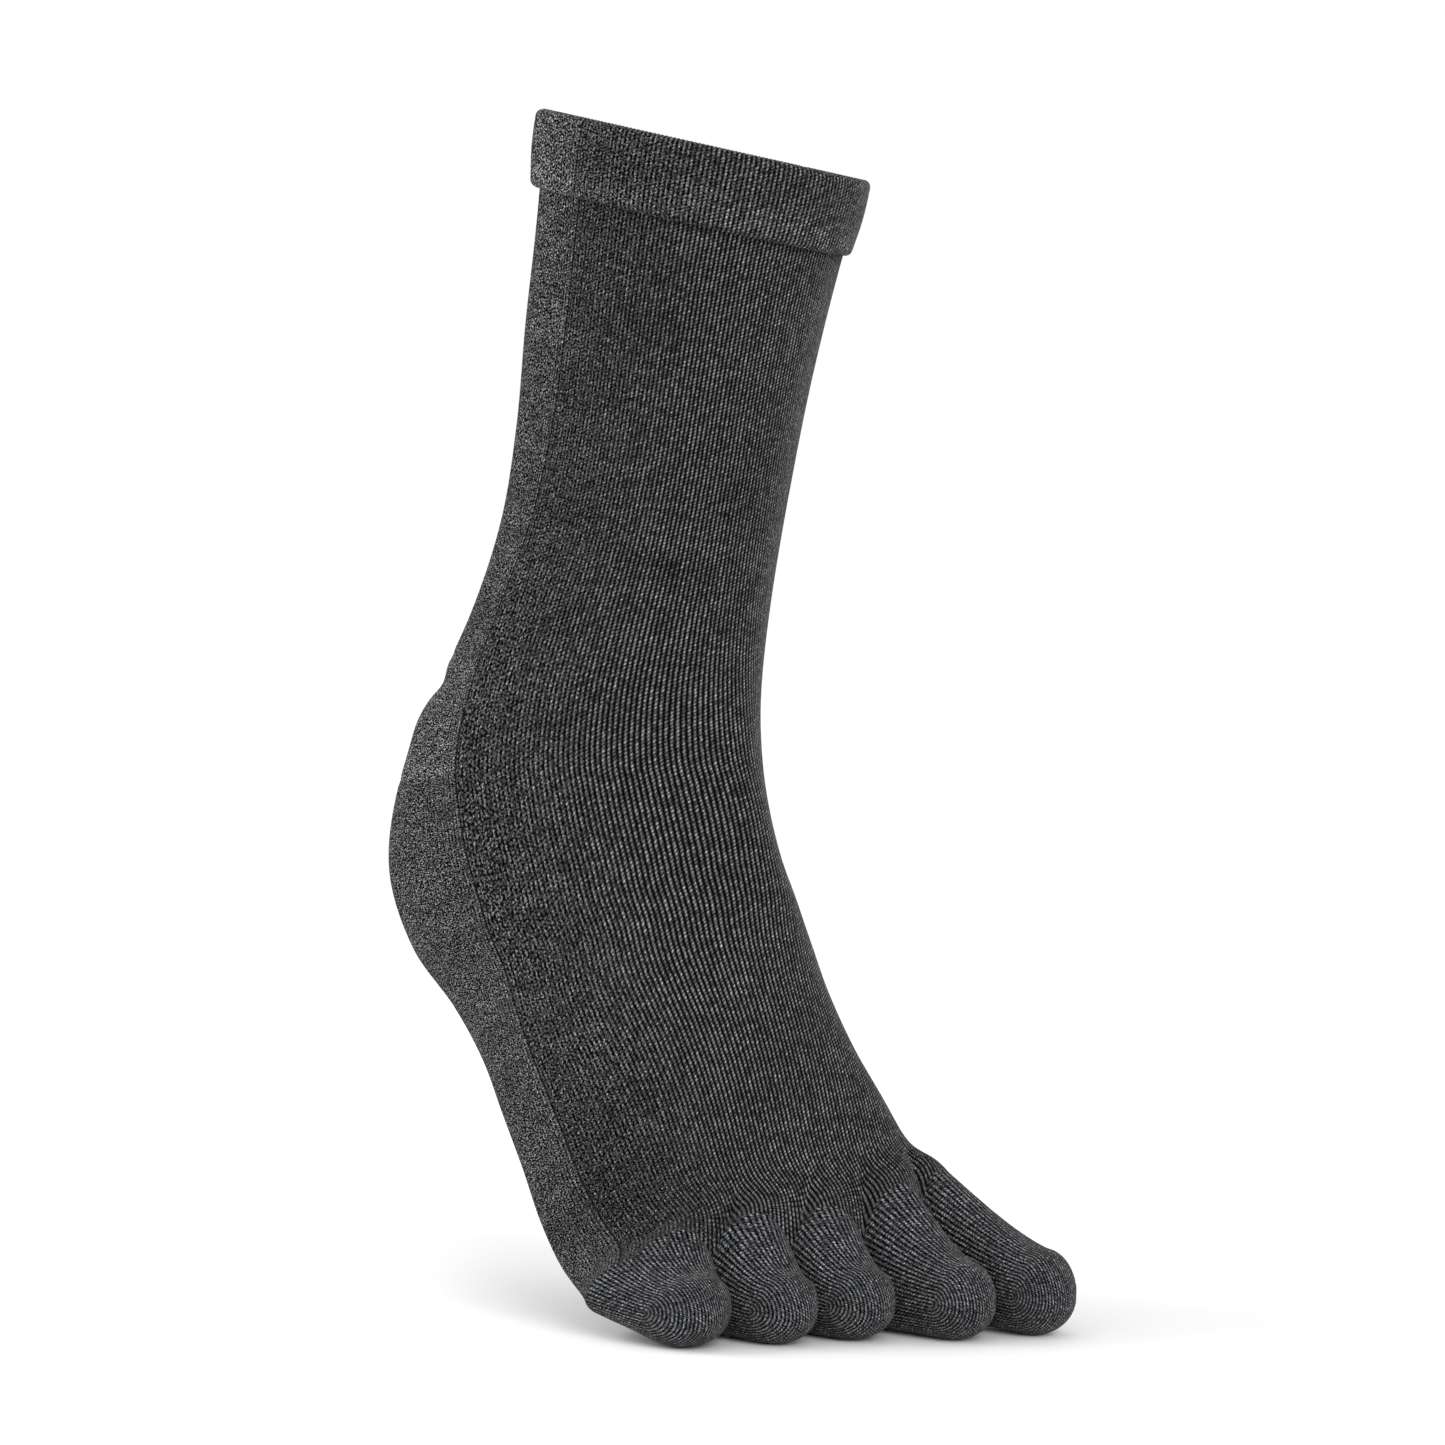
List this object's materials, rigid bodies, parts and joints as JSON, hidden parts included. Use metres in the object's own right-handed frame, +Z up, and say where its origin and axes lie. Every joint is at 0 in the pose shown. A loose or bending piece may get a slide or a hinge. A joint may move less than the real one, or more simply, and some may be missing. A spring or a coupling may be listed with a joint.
{
  "type": "toe sock",
  "caption": "Crew-length knitted sock for the right foot with a separate pocket for each toe, a shaped heel and a turned welt, holding its worn tiptoe form",
  "frame": {"origin": "middle of the leg opening, where the wearer's leg goes in", "axes": "+X from the little toe to the big toe, -Y the way the toes point, +Z up as worn on tiptoe"},
  "size_m": [0.1011, 0.2046, 0.3234],
  "materials": {
    "welt_knit": "charcoal heather knit, doubled welt",
    "body_knit": "charcoal heather plain knit",
    "heel_knit": "charcoal heather knit, slightly paler",
    "toe_knit": "charcoal heather knit, finer stitches"
  },
  "bodies": {
    "root": {"cuff": "welt_knit", "leg_and_foot": "body_knit", "heel_pocket": "heel_knit", "toe_little": "toe_knit", "toe_fourth": "toe_knit", "toe_third": "toe_knit", "toe_second": "toe_knit", "toe_big": "toe_knit"}
  },
  "joints": []
}
